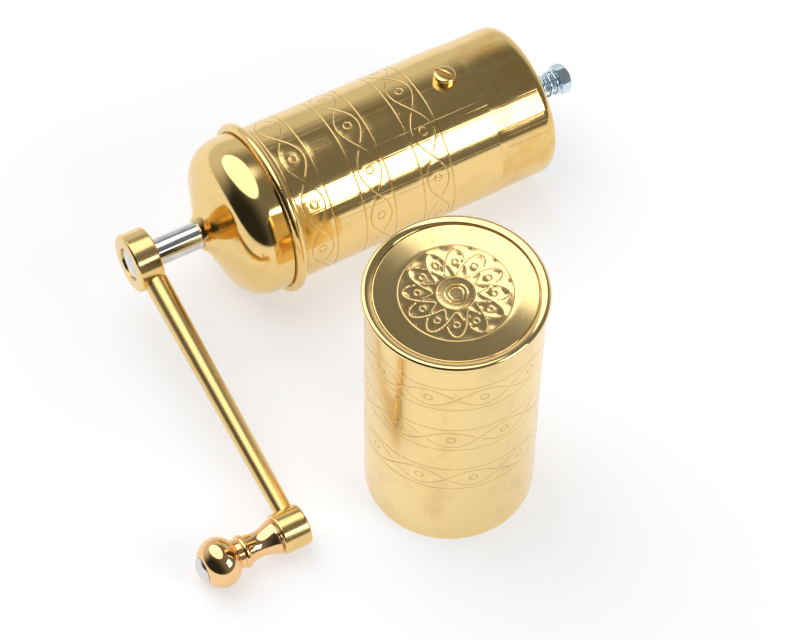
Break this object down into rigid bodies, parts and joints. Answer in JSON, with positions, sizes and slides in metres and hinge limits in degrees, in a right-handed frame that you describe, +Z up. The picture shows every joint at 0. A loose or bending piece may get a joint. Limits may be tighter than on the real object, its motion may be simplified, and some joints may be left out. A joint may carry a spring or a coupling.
{
  "type": "turkish coffee grinder",
  "caption": "Cylindrical brass hand coffee mill lying on its side, with domed lid, crank with turned knob, burr set with adjusting screw, and its ground-coffee cup stood beside it.",
  "frame": {"origin": "on the floor, under the middle of the whole group's box", "axes": "+X along the mill towards its burr end, +Z up, +Y from the cup towards the mill"},
  "size_m": [0.1804, 0.146, 0.0897],
  "materials": {
    "tube_brass": "polished, with fine turning lines and faint tarnish near the burr end",
    "lid_brass": "polished",
    "cup_brass": "polished, with fine drawing lines",
    "crank_brass": "polished",
    "knob_brass": "polished, warmer in colour",
    "screw_brass": "turned",
    "bright_steel": "polished",
    "bridge_steel": "as rolled",
    "zinc_plate": "bright zinc plate",
    "burr_iron": "hardened, dark"
  },
  "bodies": {
    "body": {"body_tube": "tube_brass", "mouth_bead": "tube_brass", "outer_burr": "burr_iron", "burr_screw": "screw_brass", "upper_bridge": "bridge_steel", "bridge_bush": "screw_brass", "bridge_posts": "bridge_steel", "lower_bridge": "bridge_steel", "bridge_screws": "bridge_steel", "adjusting_spring": "zinc_plate"},
    "thrust": {"thrust_pad": "screw_brass"},
    "adjuster": {"adjusting_screw": "zinc_plate"},
    "drive": {"inner_burr": "burr_iron", "burr_pin": "bright_steel", "drive_spindle": "bright_steel"},
    "crank": {"drive_shaft": "bright_steel", "shaft_collar": "bright_steel", "crank_hub": "crank_brass", "hub_screw": "bright_steel", "crank_arm": "crank_brass", "arm_boss": "crank_brass", "knob_axle": "bright_steel", "knob_washer": "bright_steel"},
    "knob": {"knob": "knob_brass"},
    "lid": {"lid_dome": "lid_brass", "lid_spigot": "lid_brass", "lid_bush": "lid_brass"},
    "cup": {"cup_sleeve": "cup_brass", "cup_base": "cup_brass", "cup_rim": "cup_brass"}
  },
  "joints": [
    {"name": "adjust_feed", "type": "slide", "parent": "body", "child": "thrust", "axis": [-0.9994, 0, 0.0349], "range_m": [-0.0004, 0.0004]},
    {"name": "adjust_turn", "type": "hinge", "parent": "thrust", "child": "adjuster", "pos_m": [0.01228, 0.0457, 0.0262], "axis": [-0.9994, 0, 0.0349], "range_deg": [-200, 200]},
    {"name": "crank_turn", "type": "hinge", "parent": "thrust", "child": "drive", "pos_m": [0.01228, 0.0457, 0.0262], "axis": [-0.9994, 0, 0.0349], "continuous": true},
    {"name": "crank_lift", "type": "slide", "parent": "drive", "child": "crank", "axis": [-0.9994, 0, 0.0349], "range_m": [0, 0.06]},
    {"name": "knob_spin", "type": "hinge", "parent": "crank", "child": "knob", "pos_m": [-0.0832, -0.04622, 0.0076], "axis": [-0.9994, 0, 0.0349], "continuous": true},
    {"name": "lid_lift", "type": "slide", "parent": "body", "child": "lid", "axis": [-0.9994, 0, 0.0349], "range_m": [0, 0.06]},
    {"name": "cup_lift", "type": "slide", "parent": "body", "child": "cup", "axis": [0, 0, 1], "range_m": [0, 0.09]}
  ],
  "couplings": [
    {"joint": "adjust_turn", "follows": "adjust_feed", "rad_per_m": 7854},
    {"joint": "lid_lift", "follows": "crank_lift", "ratio": 1}
  ]
}
